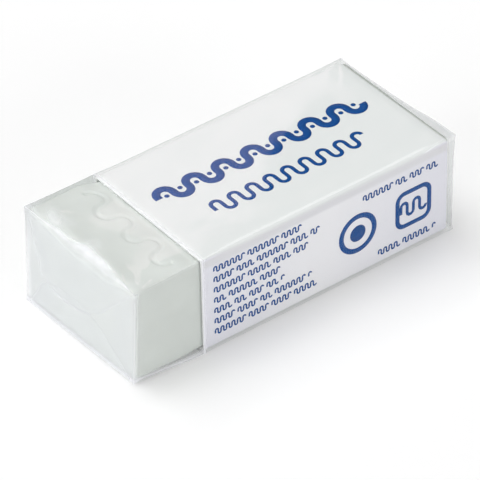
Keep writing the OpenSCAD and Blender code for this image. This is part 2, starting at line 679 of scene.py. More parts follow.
@dataclass
class EraserBlock:
    """The vinyl block: soft edges, a slightly uneven skin and a moulded wave near its open end."""

    node: str = "eraser_block"
    finish: VinylFinish = field(default_factory=VinylFinish)
    end_radius: float = 0.9 * MM
    long_radius: float = 0.45 * MM
    base_radius: float = 0.35 * MM
    crown_radius: float = 1.5 * MM
    crown_length: float = 4 * MM
    far_end_radius: float = 0.35 * MM
    wave_turns: int = 6
    wave_radius: float = 1.25 * MM
    wave_setback: float = 2.6 * MM
    wave_half_width: float = 0.48 * MM
    wave_depth: float = 0.15 * MM
    unevenness: float = 0.03 * MM
    uneven_patch: float = 3.5 * MM
    swell_length: float = 2.4 * MM
    swell_front: float = 0.24 * MM
    swell_front_base: float = -0.2
    swell_back: float = 0.55 * MM
    swell_top: float = 0.27 * MM
    swell_base: float = 0.2 * MM
    end_length: float = 3 * MM
    end_drop: float = 0.35 * MM
    far_rise: float = 0.34 * MM
    skew_top: float = 0.15 * MM
    skew_base: float = 0.55 * MM
    # Strengths of the painted shade on the sides, beside the card, on the top and at the far end.
    painted_shade_low: float = 0.105
    painted_shade_high: float = 0.185
    painted_shade_near_card: float = 0.05
    painted_shade_top: float = 0.1
    painted_shade_top_near_card: float = 0.03
    painted_shade_far_end: float = 0.52
    edge_zone: float = 1.2 * MM
    fine_step: float = 0.1 * MM
    level_step: float = 1 * MM
    hidden_step: float = 3 * MM

    def __post_init__(self) -> None:
        """Read the block's and the sleeve's places from the frame."""
        self.box = Extent.of_node(self.node)
        sleeve = Extent.of_node("card_sleeve")
        self.sleeve_start = sleeve.low.x
        self.sleeve_end = sleeve.high.x

    def _grid(self) -> BMesh:
        """Make the plain box, gridded finely where it shows.

        Returns:
            The gridded box.
        """
        low, high = self.box.low, self.box.high
        coarse, edge = self.fine_step * 2, self.edge_zone
        hidden = (self.sleeve_start + edge, self.hidden_step)
        far_end = [(high.x - 2 * edge, coarse), (high.x - 0.8 * MM, self.fine_step / 2)]
        along = stations([(low.x, self.fine_step), hidden, *far_end], high.x)
        across = stations([(low.y, self.fine_step)], high.y)
        up = stations([(low.z, coarse), (low.z + edge, self.level_step), (high.z - edge, coarse)], high.z)
        return graded_box((along, across, up))

    def _wave_gap(self, point: Vector) -> float:
        """Return how far a point lies from the wave's centre line, seen from above.

        Args:
            point: A point of the block's top.

        Returns:
            The distance to the nearest of the wave's half rings.
        """
        gaps: list[float] = []
        first = self.box.middle.y - (self.wave_turns - 1) * self.wave_radius
        for turn in range(self.wave_turns):
            side = -1 if turn % 2 == 0 else 1
            dx = point.x - (self.sleeve_start - self.wave_setback)
            dy = point.y - (first + turn * 2 * self.wave_radius)
            if dx * side >= 0:
                gaps.append(abs(math.hypot(dx, dy) - self.wave_radius))
            else:
                gaps.append(math.hypot(dx, abs(dy) - self.wave_radius))
        return min(gaps)

    def _dent(self, point: Vector) -> float:
        """Return how deep the moulded wave is at a point of the top."""
        gap = min(self._wave_gap(point), self.wave_half_width)
        return self.wave_depth * (1 + math.cos(math.pi * gap / self.wave_half_width)) / 2

    def _swollen(self, point: Vector) -> Vector:
        """Let the bare end swell past the size that the sleeve holds it to, and sag and skew a little.

        Args:
            point: A point of the plain rounded block.

        Returns:
            Where the soft vinyl lies.
        """
        share = blend_in(point.x, self.sleeve_start, self.sleeve_start - self.swell_length)
        half = (self.box.high - self.box.low) / 2
        side = (point.y - self.box.middle.y) / half.y
        level = (point.z - self.box.middle.z) / half.z
        rise = self.swell_top * max(0.0, level) + self.swell_base * min(0.0, level)
        front = self.swell_front * lerp(self.swell_front_base, 1.0, (level + 1) / 2)
        spread = self.swell_back * max(0.0, side) + front * min(0.0, side)
        skew = lerp(self.skew_base, self.skew_top, (level + 1) / 2)
        at_end = blend_in(point.x, self.box.low.x + self.end_length, self.box.low.x)
        drop = self.end_drop * at_end * max(0.0, -level) * blend_in(side, -1.0, -0.7)
        beyond = blend_in(point.x, self.sleeve_end - self.fine_step / 2, self.sleeve_end + self.fine_step)
        lifted = rise * share - drop + self.far_rise * beyond * max(0.0, level)
        return point + Vector((-skew * at_end * (1 + side) / 2, spread * share, lifted))

    def _radii_at(self, point: Vector) -> Vector:
        """Return the block's rounding near a point: softest along the middle of the bare end's top edge.

        Args:
            point: A point of the plain box.

        Returns:
            The rounding along X, Y and Z.
        """
        if point.x > self.sleeve_start:
            return Vector((self.far_end_radius, self.long_radius, self.long_radius))
        if point.z < self.box.middle.z:
            return Vector((self.base_radius, self.long_radius, self.base_radius))
        from_side = (self.box.high.y - self.box.low.y) / 2 - abs(point.y - self.box.middle.y)
        mid = blend_in(from_side, 0.5 * MM, 6 * MM) * blend_in(point.z, self.box.middle.z, self.box.high.z)
        crown_end = self.box.low.x + self.crown_length
        near_end = blend_in(point.x, crown_end, crown_end - self.crown_length / 2)
        end = lerp(self.end_radius, self.crown_radius, mid)
        return Vector((end, self.long_radius, lerp(self.long_radius, end, mid * near_end)))

    def _painted_shade(self, point: Vector, normal: Vector) -> float:
        """Return how much painted shade the vinyl takes: most in the recess beside the card and beyond the
        card at its far end, some on its sides, and a little on its top towards the open end.

        Args:
            point: A point of the rounded block.
            normal: Its outward direction.

        Returns:
            The painted shade, from 0 to 1.
        """
        near_card = blend_in(point.x, self.sleeve_start - 1.5 * MM, self.sleeve_start)
        near_end = blend_in(point.x, self.sleeve_start - 4 * MM, self.box.low.x + 1 * MM)
        level = (point.z - self.box.low.z) / (self.box.high.z - self.box.low.z)
        side = normal.y**2 * (lerp(self.painted_shade_low, self.painted_shade_high, level) + self.painted_shade_near_card * near_card)
        top = max(0.0, normal.z) ** 2 * (self.painted_shade_top * near_end + self.painted_shade_top_near_card * near_card)
        beyond = blend_in(point.x, self.sleeve_end - 0.4 * MM, self.sleeve_end - 0.1 * MM)
        return max(side + top, self.painted_shade_far_end * beyond)

    def build(self) -> None:
        """Shape the block and dress it."""
        bm = self._grid()
        painted_shade = bm.verts.layers.float.new(self.finish.painted_shade_attribute)
        for vert in bm.verts:
            placed, normal = rounded(vert.co, self.box, self._radii_at(vert.co))
            vert[painted_shade] = self._painted_shade(placed, normal)
            depth = self.unevenness * abs(noise.noise(placed / self.uneven_patch))
            if normal.z > 0.9 and placed.x < self.sleeve_start:
                depth += self._dent(placed)
            vert.co = self._swollen(placed - normal * depth)
        settle(make_piece("vinyl_block", bm, [self.finish.material()]), self.node)


@dataclass(frozen=True)
class Panel:
    """A flat panel of the sleeve, which is printed in its own two directions."""

    origin: Vector
    across: Vector
    up: Vector

    def matrix(self) -> Matrix:
        """Return the transform from the panel's plane to the frame."""
        turn = Matrix((self.across, self.up, self.across.cross(self.up))).transposed().to_4x4()
        return Matrix.Translation(self.origin) @ turn


@dataclass(frozen=True)
class WaveLine:
    """The form of a printed wave, in millimetres: half rings on alternate sides, with straight links."""

    radius: float
    stroke: float
    rise: float


@dataclass
class WavePrint:
    """Blue line work on one panel, drawn in millimetres as thin fields of ink."""

    name: str
    panel: Panel
    ink: Material
    lift: float = 0.006 * MM
    ink_depth: float = 0.006 * MM
    turn_steps: int = 10

    def __post_init__(self) -> None:
        """Start with nothing printed."""
        self.bm = bmesh.new()

    def ribbon(self, u: float, v: float, turns: int, line: WaveLine) -> None:
        """Draw a wave.

        Args:
            u: Start along the panel.
            v: Height of the wave's middle line.
            turns: Number of half rings.
            line: The wave's form.
        """
        bottom, top = v - line.rise / 2, v + line.rise / 2
        ends = [self.bm.verts.new((u + step * line.stroke / 2, bottom, 0)) for step in (-1, 1)]
        front = [self.bm.edges.new(ends)]
        for turn in range(turns):
            climbing = turn % 2 == 0
            front = push_edges(self.bm, front, (0, line.rise if climbing else -line.rise, 0))
            spun = bmesh.ops.spin(
                self.bm, geom=front, cent=(u + line.radius, top if climbing else bottom, 0), axis=(0, 0, 1),
                angle=-math.pi if climbing else math.pi, steps=self.turn_steps, use_merge=False,
            )
            front = edges_of(spun["geom_last"])
            u += 2 * line.radius

    def disc(self, u: float, v: float, radius: float, sides: int = 24) -> None:
        """Print a solid disc round a point."""
        place = Matrix.Translation((u, v, 0))
        bmesh.ops.create_circle(self.bm, cap_ends=True, radius=radius, segments=sides, matrix=place)

    def ring(self, u: float, v: float, radius: float, stroke: float, sides: int = 64) -> None:
        """Print a ring.

        Args:
            u: Its centre along the panel.
            v: Its centre's height.
            radius: Radius of the middle of its line.
            stroke: Width of its line.
            sides: Number of straight steps in it.
        """
        spoke = self.bm.edges.new(
            [self.bm.verts.new((u + radius + step * stroke / 2, v, 0)) for step in (-1, 1)]
        )
        bmesh.ops.spin(
            self.bm, geom=[spoke], cent=(u, v, 0), axis=(0, 0, 1), angle=2 * math.pi, steps=sides,
            use_merge=True,
        )

    def square_outline(self, u: float, v: float, width: float, corner: float, stroke: float) -> None:
        """Print the outline of a square with round corners.

        Args:
            u: Its centre along the panel.
            v: Its centre's height.
            width: Its outer width.
            corner: Rounding of its corners.
            stroke: Width of its line.
        """
        made = bmesh.ops.create_grid(self.bm, x_segments=1, y_segments=1, size=0.5)
        bmesh.ops.scale(self.bm, verts=made["verts"], vec=(width, width, 1))
        bmesh.ops.translate(self.bm, verts=made["verts"], vec=(u, v, 0))
        cut = bmesh.ops.bevel(
            self.bm, geom=made["verts"], offset=corner, offset_type="OFFSET", segments=6, profile=0.5,
            affect="VERTICES", material=-1,
        )
        rounded_square = max(
            (face for face in self.bm.faces if any(vert in cut["verts"] for vert in face.verts)),
            key=lambda face: face.calc_area(),
        )
        bmesh.ops.inset_individual(self.bm, faces=[rounded_square], thickness=stroke, use_even_offset=True)
        bmesh.ops.delete(self.bm, geom=[rounded_square], context="FACES_ONLY")

    def build(self) -> None:
        """Lay the ink on its panel."""
        bmesh.ops.scale(self.bm, vec=(MM, MM, MM), verts=self.bm.verts)
        bmesh.ops.translate(self.bm, vec=(0, 0, self.lift), verts=self.bm.verts)
        for face in self.bm.faces:
            face.normal_update()
        flipped = [face for face in self.bm.faces if face.normal.z < 0]
        bmesh.ops.reverse_faces(self.bm, faces=flipped)
        bmesh.ops.transform(self.bm, matrix=self.panel.matrix(), verts=self.bm.verts)
        piece = make_piece(self.name, self.bm, [self.ink], Gloss.CREASED)
        thicken(piece, self.ink_depth, 1.0)
        settle(piece)


@dataclass
class CardSleeve:
    """The sleeve: one folded strip of printed card, glued along a lap inside its base."""

    node: str = "card_sleeve"
    finish: CardFinish = field(default_factory=CardFinish)
    core: CardFinish = CardFinish(
        "card_core", tone=srgb(250, 251, 249), shade=srgb(246, 246, 244), painted_front_shade=srgb(250, 251, 249),
        painted_front_light=srgb(250, 251, 249), painted_fold_shade=srgb(250, 251, 249), roughness=(0.75, 0.85),
        fibre=0.08 * MM, fibre_depth=0.01 * MM,
    )
    ink: InkFinish = field(default_factory=InkFinish)
    card: float = 0.285 * MM
    bend: float = 0.4 * MM
    front_fold: float = 0.95 * MM
    fold_ease: float = 5 * MM
    lap_width: float = 12.0 * MM
    closing_gap: float = 0.4 * MM
    lap_clearance: float = 0.005 * MM
    grid_step: float = 1.2 * MM
    cut_softness: float = 0.05 * MM
    cut_angle: float = math.radians(50)
    bend_steps: int = 10
    bold_wave: WaveLine = WaveLine(1.02, 0.98, 0.35)
    thin_wave: WaveLine = WaveLine(0.62, 0.5, 0.9)
    fine_wave: WaveLine = WaveLine(0.19, 0.21, 0.36)
    fine_gap: float = 0.5
    fine_lengths: Sequence[float] = (12.3, 14.9, 13.2, 9.0, 9.8, 13.4, 14.4)
    fine_pitch: float = 1.45
    boxed_wave: WaveLine = WaveLine(0.45, 0.42, 1.0)

    def __post_init__(self) -> None:
        """Read the sleeve's place from the frame."""
        self.box = Extent.of_node(self.node)

    def _flat(self, bm: BMesh, tip: BMVert, way: Vector, length: float) -> BMVert:
        """Carry the section straight on.

        Args:
            bm: The mesh.
            tip: The section's end.
            way: Direction of the flat.
            length: Length of the flat.

        Returns:
            The section's new end.
        """
        count = max(1, round(length / self.grid_step))
        for _ in range(count):
            tip = bmesh.ops.extrude_vert_indiv(bm, verts=[tip])["verts"][0]
            bmesh.ops.translate(bm, verts=[tip], vec=way * (length / count))
        return tip

    def _bend(self, bm: BMesh, tip: BMVert, way: Vector, radius: float) -> BMVert:
        """Turn the section a right angle towards the block.

        Args:
            bm: The mesh.
            tip: The section's end.
            way: Direction of the flat before the bend.
            radius: Outer radius of the bend.

        Returns:
            The section's new end.
        """
        inward = Vector((1, 0, 0)).cross(way) * -1
        spun = bmesh.ops.spin(
            bm, geom=[tip], cent=tip.co + inward * radius, axis=(1, 0, 0), angle=-math.pi / 2,
            steps=self.bend_steps, use_merge=False,
        )
        return verts_of(spun["geom_last"])[0]

    def _section(self, bm: BMesh) -> None:
        """Draw the strip's outer side in the plane of the open end, from the lap's free edge on.

        Args:
            bm: The mesh that it is drawn in.
        """
        low, high = self.box.low, self.box.high
        lap_z = low.z + self.card + self.lap_clearance
        width, height = high.y - low.y, high.z - low.z
        tip = bm.verts.new((low.x, low.y + self.bend + self.lap_width, lap_z))
        up, back = Vector((0, 0, 1)), Vector((0, 1, 0))
        runs = (
            (-back, self.lap_width, self.bend),
            (up, high.z - lap_z - self.bend - self.front_fold, self.front_fold),
            (back, width - self.bend - self.front_fold, self.bend),
            (-up, height - 2 * self.bend, self.bend),
        )
        for way, length, radius in runs:
            tip = self._flat(bm, tip, way, length)
            tip = self._bend(bm, tip, way, radius)
        self._flat(bm, tip, -back, width - 2 * self.bend - self.closing_gap)

    def _sheet(self) -> BMesh:
        """Carry the section along the block.

        Returns:
            The folded sheet.
        """
        bm = bmesh.new()
        self._section(bm)
        front = list(bm.edges)
        length = self.box.high.x - self.box.low.x
        count = round(length / self.grid_step)
        for _ in range(count):
            front = push_edges(bm, front, (length / count, 0, 0))
        return bm

    def _ease_fold(self, bm: BMesh) -> None:
        """Draw the soft front fold in to a tight one towards the sleeve's cut ends.

        Args:
            bm: The folded sheet.
        """
        low, high = self.box.low, self.box.high
        soft = Vector((low.y + self.front_fold, high.z - self.front_fold))
        tight = Vector((low.y + self.bend, high.z - self.bend))
        for vert in bm.verts:
            lean = Vector((vert.co.y, vert.co.z)) - soft
            if lean.x > self.lap_clearance / 2 or lean.y < -self.lap_clearance / 2:
                continue
            from_cut = min(vert.co.x - low.x, high.x - vert.co.x)
            share = blend_in(from_cut, self.fold_ease, 0)
            drawn = tight + lean.normalized() * self.bend
            vert.co.y += (drawn.x - vert.co.y) * share
            vert.co.z += (drawn.y - vert.co.z) * share

    def _face_out(self, bm: BMesh) -> None:
        """Turn the sheet's faces away from the block.

        Args:
            bm: The folded sheet.
        """
        bm.normal_update()
        middle = self.box.middle
        top = max(bm.faces, key=lambda face: face.calc_center_median().z)
        if (top.calc_center_median() - middle).dot(top.normal) < 0:
            bmesh.ops.reverse_faces(bm, faces=bm.faces)

    def build(self) -> None:
        """Fold the card, dress it and print it."""
        bm = self._sheet()
        self._ease_fold(bm)
        self._face_out(bm)
        piece = make_piece("sleeve_card", bm, [self.finish.material(), self.core.material()])
        thicken(piece, self.card, -1.0, rim_slot=1)
        edge = piece.modifiers.new("cut_edge", "BEVEL")
        edge.width = self.cut_softness
        edge.segments = 2
        edge.limit_method = "ANGLE"
        edge.angle_limit = self.cut_angle
        settle(piece, self.node)
        ink = self.ink.material()
        self._print_top(ink)
        self._print_side(ink)

    def _print_top(self, ink: Material) -> None:
        """Print a bold wave with a dot in each turn, and a thin wave in front of it.

        Args:
            ink: The print's material.
        """
        panel = Panel(Vector((0, 0, self.box.high.z)), Vector((1, 0, 0)), Vector((0, 1, 0)))
        top = WavePrint("sleeve_print_top", panel, ink)
        centre = self.box.middle.x / MM
        turns, line, height = 14, self.bold_wave, 2.0
        start = centre - turns * line.radius
        top.ribbon(start, height, turns, line)
        for turn in range(turns):
            inward = -0.16 if turn % 2 == 0 else 0.16
            top.disc(start + (2 * turn + 1) * line.radius, height + inward, 0.3)
        turns, line, height = 17, self.thin_wave, -3.2
        top.ribbon(centre - turns * line.radius, height, turns, line)
        top.build()

    def _print_side(self, ink: Material) -> None:
        """Print ragged rows of fine waves, with a ring and a square outline beside them.

        Args:
            ink: The print's material.
        """
        panel = Panel(Vector((0, self.box.low.y, 0)), Vector((1, 0, 0)), Vector((0, 0, 1)))
        side = WavePrint("sleeve_print_side", panel, ink, turn_steps=5)
        rows = [(-11.4, 11.0 - row * self.fine_pitch, length) for row, length in enumerate(self.fine_lengths)]
        rows += [(9.4, 10.6, 10.8), (11.6, 1.9, 8.6)]
        draw = random.Random(11)
        for start, height, length in rows:
            self._fine_row(side, draw, start, height, length)
        middle, ring_at, square_at = 6.2, 8.6, 16.6
        side.ring(ring_at, middle, 2.35, 0.68)
        side.disc(ring_at, middle, 1.1)
        side.square_outline(square_at, middle, 5.2, 1.3, 0.6)
        side.ribbon(square_at - 4 * self.boxed_wave.radius, middle, 4, self.boxed_wave)
        side.build()

    def _fine_row(
        self, side: WavePrint, draw: random.Random, start: float, height: float, length: float
    ) -> None:
        """Print one row of short fine waves.

        Args:
            side: The print that the row belongs to.
            draw: Source of the waves' lengths.
            start: Where the row starts, in millimetres.
            height: Height of the row's middle.
            length: Length of the row.
        """
        turn_width = 2 * self.fine_wave.radius
        at = start
        while at < start + length - turn_width:
            room = int((start + length - at) / turn_width)
            turns = min(room, draw.randint(4, 11))
            side.ribbon(at, height, turns, self.fine_wave)
            at += turns * turn_width + self.fine_gap


class End(Enum):
    """The two ends of the wrap."""

    OPEN = -1
    FAR = 1


@dataclass
class FilmFlap:
    """One flap or tuck of the film's folded end: a thin sheet against the end face.

    Its root and its free edge each run between two points of the end face, given in millimetres.
    """

    name: str
    end: End
    root: tuple[Pair, Pair]
    tip: tuple[Pair, Pair]
    depth: float
    material: Material
    cells: tuple[int, int] = (40, 36)
    curl: float = 0.06 * MM
    curl_power: int = 6
    corner: float = 0.25
    waviness: float = 0.015 * MM
    wave_size: float = 2.5 * MM
    haze: float = 0.03
    rim_haze: float = 0.38
    rim_start: float = 0.94
    streak_size: Pair = (5 * MM, 1.3 * MM)
    haze_and_highlight_attribute: str = "crease"

    def build(self, end_x: float, node: str, lay: Callable[[Vector, float], Vector]) -> None:
        """Shape the flap on the end face.

        Args:
            end_x: Place of the end face along X.
            node: The solid that the flap belongs to.
            lay: Takes a point of the plain end face and a lift, and returns the place on the film's skin.
        """
        bm = bmesh.new()
        bmesh.ops.create_grid(bm, x_segments=self.cells[0], y_segments=self.cells[1], size=0.5)
        whiten = bm.verts.layers.float.new(self.haze_and_highlight_attribute)
        for vert in bm.verts:
            side, reach = vert.co.x * 2, vert.co.y + 0.5
            y, z = self._place(side, reach * (1 - self.corner * abs(side) ** 4 * reach))
            wave = self.waviness * noise.noise(Vector((y, z, self.depth)) / self.wave_size)
            lift = self.curl * reach**self.curl_power + max(0.0, wave)
            vert.co = lay(Vector((end_x, y, z)), self.depth + lift)
            streak = noise.noise(Vector((y / self.streak_size[0], z / self.streak_size[1], self.depth / MM)))
            rim = self.rim_haze * blend_in(max(abs(side), reach), self.rim_start, 1.0) * (0.5 + 0.5 * streak)
            vert[whiten] = self.haze * (0.9 + 0.5 * streak) + rim
        bm.normal_update()
        bm.faces.ensure_lookup_table()
        if bm.faces[0].normal.x * self.end.value < 0:
            bmesh.ops.reverse_faces(bm, faces=bm.faces)
        settle(make_piece(self.name, bm, [self.material]), node)

    def _place(self, side: float, reach: float) -> Pair:
        """Return a point of the plain flap.

        Args:
            side: Where it lies between the flap's sides, from -1 to 1.
            reach: Where it lies between the root and the free edge, from 0 to 1.

        Returns:
            The point's Y and Z.
        """
        root, tip = (
            [lerp(ends[0][axis], ends[1][axis], (side + 1) / 2) for axis in range(2)]
            for ends in (self.root, self.tip)
        )
        return (lerp(root[0], tip[0], reach) * MM, lerp(root[1], tip[1], reach) * MM)


@dataclass(frozen=True)
class CornerPull:
    """How far one corner of the loose wrap stands off from a true box.

    The side is -1 or 1 along X, Y and Z, and says which corner it is.
    """

    side: tuple[int, int, int]
    move: tuple[float, float, float]
    grip: float = 1.0
    reach: float = 0.4

    def at(self, share: Vector) -> Vector:
        """Work out the pull at one place.

        Args:
            share: The place, from -1 to 1 along each axis of the box.

        Returns:
            How far the film moves there.
        """
        along = blend_in(self.side[0] * share.x, 1.0 - self.reach, 1.0)
        across = max(0.0, 1 + self.side[1] * share.y) / 2
        up = max(0.0, 1 + self.side[2] * share.z) / 2
        return Vector(self.move) * (along * (across * up) ** self.grip)


@dataclass
class FilmWrap:
    """The clear film: a taut skin with stiff corners, a crumpled end crease and folded ends.

    The names that end in haze, highlight or reflection say how white the film gets, from 0 to 1: real haze
    where it is creased or lies double, and painted highlights and reflections along its edges, hem and end
    face. The names that end in shade say how much painted shade it takes.
    """

    node: str = "film_wrap"
    finish: FilmFinish = field(default_factory=FilmFinish)
    # The folded film's base haze is partly real haze of the doubled film and partly painted reflection that
    # lightens the open end.
    folded_finish: FilmFinish = FilmFinish(
        "film_folded", head_on_mirror=0.04, grazing_mirror=0.7, whitening=srgb(250, 249, 254), base_haze=0.1
    )
    flap_room: float = 0.1 * MM
    back_room: float = 0.25 * MM
    top_room: float = 0.08 * MM
    steps: tuple[float, float, float] = (0.1 * MM, 0.22 * MM, 0.5 * MM)
    edge_zone: float = 1.4 * MM
    long_radius: float = 0.3 * MM
    front_radius: float = 0.85 * MM
    front_ease: float = 5 * MM
    fold_radius: float = 0.2 * MM
    crease_radius: float = 1.55 * MM
    crease_soft_from: Pair = (6 * MM, 11 * MM)
    far_crease_radius: float = 0.3 * MM
    far_soft_from: float = 3 * MM
    ear_reach: float = 1.5 * MM
    ear_out: float = 0.04 * MM
    ear_width: float = 0.7 * MM
    hug_gap: float = 0.05 * MM
    hug_back_limit: float = 0.5 * MM
    step_length: float = 0.38 * MM
    side_step_length: float = 0.95 * MM
    crumple: float = 0.12 * MM
    crumple_reach: Pair = (3.5 * MM, 1.2 * MM)
    wide_crumple: Pair = (1.9 * MM, 2.4 * MM)
    narrow_crumple: tuple[float, float, float] = (0.9 * MM, 1.1 * MM, 1.0 * MM)
    pucker: float = 0.035 * MM
    far_pucker: float = 0.0035 * MM
    pucker_folds: float = 13.0
    ripple: float = 0.012 * MM
    ripple_size: float = 6 * MM
    ripple_room: tuple[float, float, float] = (7.3, 1.9, 4.1)
    far_bulge: float = 0.35 * MM
    far_bulge_at: float = -6.5 * MM
    far_bulge_width: float = 3.5 * MM
    sleeve_draw: float = 0.13 * MM
    sleeve_draw_ease: float = 3 * MM
    # Painted shade on the film's back edges and over the far end's gap.
    back_shade: float = 0.45
    bare_back_shade: float = 0.35
    far_gap_shade: float = 0.12
    # Painted reflection on the end face, partly real haze, and painted highlights at the card's cut edge and
    # along the hem.
    end_face_haze_and_reflection: float = 0.3
    end_strip_haze: float = 0.16
    cut_edge_highlight: Pair = (0.6, 0.85)
    hem_highlight: Pair = (0.72, 0.8)
    crease_tilt: float = 0.55
    crease_width: float = 0.42
    crease_floor: float = 0.32
    # Painted highlights along the film's upright, end and long edges.
    upright_highlight: float = 0.5
    end_edge_highlight: Pair = (0.03, 0.1)
    long_edge_highlight: float = 0.08
    ear_haze: float = 0.15
    seam_width: float = 5 * MM
    seam_lift: float = 0.06 * MM
    seam_haze: float = 0.15
    pulls: tuple[CornerPull, ...] = (
        CornerPull((-1, 1, 1), (-0.24 * MM, 0, 0)),
        CornerPull((-1, 1, -1), (-0.65 * MM, 0, 0)),
        CornerPull((-1, -1, 1), (0.07 * MM, -0.12 * MM, -0.1 * MM)),
        CornerPull((-1, -1, -1), (-0.15 * MM, 0.5 * MM, 0.3 * MM), grip=1.5),
        CornerPull((1, 1, 1), (-0.22 * MM, 0, 0)),
        CornerPull((1, -1, 1), (0.25 * MM, 0, 0.25 * MM), grip=1.5),
        CornerPull((1, -1, -1), (0.2 * MM, 0, 0)),
    )

    def __post_init__(self) -> None:
        """Read the film's place and what it lies on from the frame."""
        self.box = Extent.of_node(self.node)
        snug = self.box.grown(-self.flap_room, 0, 0)
        self.skin_box = Extent(snug.low, snug.high + Vector((0, self.back_room, self.top_room)))
        self.sleeve = Extent.of_node("card_sleeve")
        self.block = Extent.of_node("eraser_block")
        self.half = (self.skin_box.high - self.skin_box.low) / 2
        room = self.skin_box.high - self.block.high
        front_room = self.block.low.y - self.skin_box.low.y
        self.top_hug = room.z - EraserBlock.swell_top - self.hug_gap
        self.back_hug = room.y - min(EraserBlock.swell_back, self.hug_back_limit) - self.hug_gap
        self.front_hug = front_room - EraserBlock.swell_front - self.hug_gap

    def _grid(self) -> BMesh:
        """Make the plain box, gridded finely near its edges and over the bare end.

        Returns:
            The gridded box.
        """
        low, high = self.skin_box.low, self.skin_box.high
        fine, plain, coarse = self.steps
        edge, cut = self.edge_zone, self.sleeve.low.x
        near_end = [(low.x, fine), (low.x + edge, plain), (cut - 1 * MM, fine), (cut + 0.4 * MM, coarse)]
        along = stations([*near_end, (high.x - 3 * edge, plain), (high.x - edge, fine)], high.x)
        across, up = (
            stations([(low[axis], fine), (low[axis] + edge, plain), (high[axis] - edge, fine)], high[axis])
            for axis in (1, 2)
        )
        return graded_box((along, across, up))

    def _share(self, point: Vector) -> Vector:
        """Return where a point lies in the skin's box, from -1 to 1 along each axis."""
        return Vector((point[axis] - self.skin_box.middle[axis]) / self.half[axis] for axis in range(3))

    def _bare(self, point: Vector) -> float:
        """Return 1 over the bare end and 0 over the sleeve."""
        return blend_in(point.x, self.sleeve.low.x + 0.5 * MM, self.sleeve.low.x - 0.5 * MM)

    def _radii_at(self, point: Vector, reach: float) -> Vector:
        """Return the film's rounding near a point: sharp at the corners, soft over the block's end.

        Args:
            point: A point of the plain box.
            reach: Its distance from the nearest corner.

        Returns:
            The rounding along X, Y and Z.
        """
        share = self._share(point)
        from_side = self.half.y * (1 - abs(share.y))
        from_end = self.half.x * (1 - abs(share.x))
        crumpled = share.x < 0 and share.z > 0
        crease = self.crease_radius if crumpled else self.far_crease_radius
        soft_from = self.crease_soft_from[share.y > 0] if crumpled else self.far_soft_from
        mid = blend_in(from_side, 0.6 * MM, soft_from)
        near_end = blend_in(from_end, 4 * MM, 2.2 * MM)
        along = self.long_radius
        if share.y < 0 and share.z > 0:
            from_cut = min(point.x - self.sleeve.low.x, self.sleeve.high.x - point.x)
            along = lerp(along, self.front_radius, blend_in(from_cut, 0, self.front_ease))
        across = lerp(along, self.fold_radius, near_end)
        up = along + (crease - along) * mid * near_end
        radii = Vector((lerp(self.fold_radius, crease, mid), across, up))
        return radii * (0.5 + 0.5 * blend_in(reach, 0.1 * MM, self.ear_reach))

    def _hug(self, point: Vector, normal: Vector) -> float:
        """Return how far the film is drawn in onto the bare block, between its stiff edges.

        Args:
            point: A point of the rounded box.
            normal: Its outward direction.

        Returns:
            The distance inwards.
        """
        cut = self.sleeve.low.x + 0.02 * MM
        share = self._share(point)
        side_room = self.back_hug if normal.y > 0 else self.front_hug
        top_step = blend_in(point.x, cut, self.sleeve.low.x - self.step_length)
        side_step = blend_in(point.x, cut, self.sleeve.low.x - self.side_step_length)
        held = blend_in(point.x, self.skin_box.low.x + 0.4 * MM, self.skin_box.low.x + 4 * MM)
        top = max(0.0, normal.z) * self.top_hug * top_step * (1 - abs(share.y) ** 4)
        side = abs(normal.y) * side_room * side_step * (0.25 + 0.75 * held) * (1 - abs(share.z) ** 4)
        return top + side

    def _puckers(self, point: Vector, corner: Vector) -> float:
        """Return the height of the short folds that fan out from a corner.

        Args:
            point: A point of the rounded box.
            corner: The nearest corner.

        Returns:
            The height outwards.
        """
        away = point - corner
        reach = away.length
        fan = math.atan2(abs(away.y) + abs(away.z) * 0.7, abs(away.x) + 1e-9)
        bend = noise.noise(point / (1.8 * MM))
        strength = 0.4 + 0.9 * noise.noise(point / (2.6 * MM) + corner / MM)
        fold = math.cos(fan * self.pucker_folds + 2.2 * bend) * strength
        height = self.pucker if corner.x < 0 else self.far_pucker
        return height * fold * bell(reach - 2 * MM, 2.6 * MM) * blend_in(reach, 0.3 * MM, 1.6 * MM)

    def _pulled(self, point: Vector) -> Vector:
        """Let the loose film stand off at its corners, lie on the sleeve's back and bulge at its far end.

        Args:
            point: A point of the film.

        Returns:
            Where it lies in the end.
        """
        share = self._share(point)
        moved = sum((pull.at(share) for pull in self.pulls), point.copy())
        over_sleeve = blend_in(point.x, self.sleeve.low.x, self.sleeve.low.x + self.sleeve_draw_ease)
        moved.y -= self.sleeve_draw * max(0.0, share.y) * over_sleeve
        bulge = bell(point.y - self.far_bulge_at, self.far_bulge_width)
        moved.x += self.far_bulge * blend_in(share.x, 0.9, 1.0) * blend_in(share.z, 0.0, 1.0) * bulge
        return moved

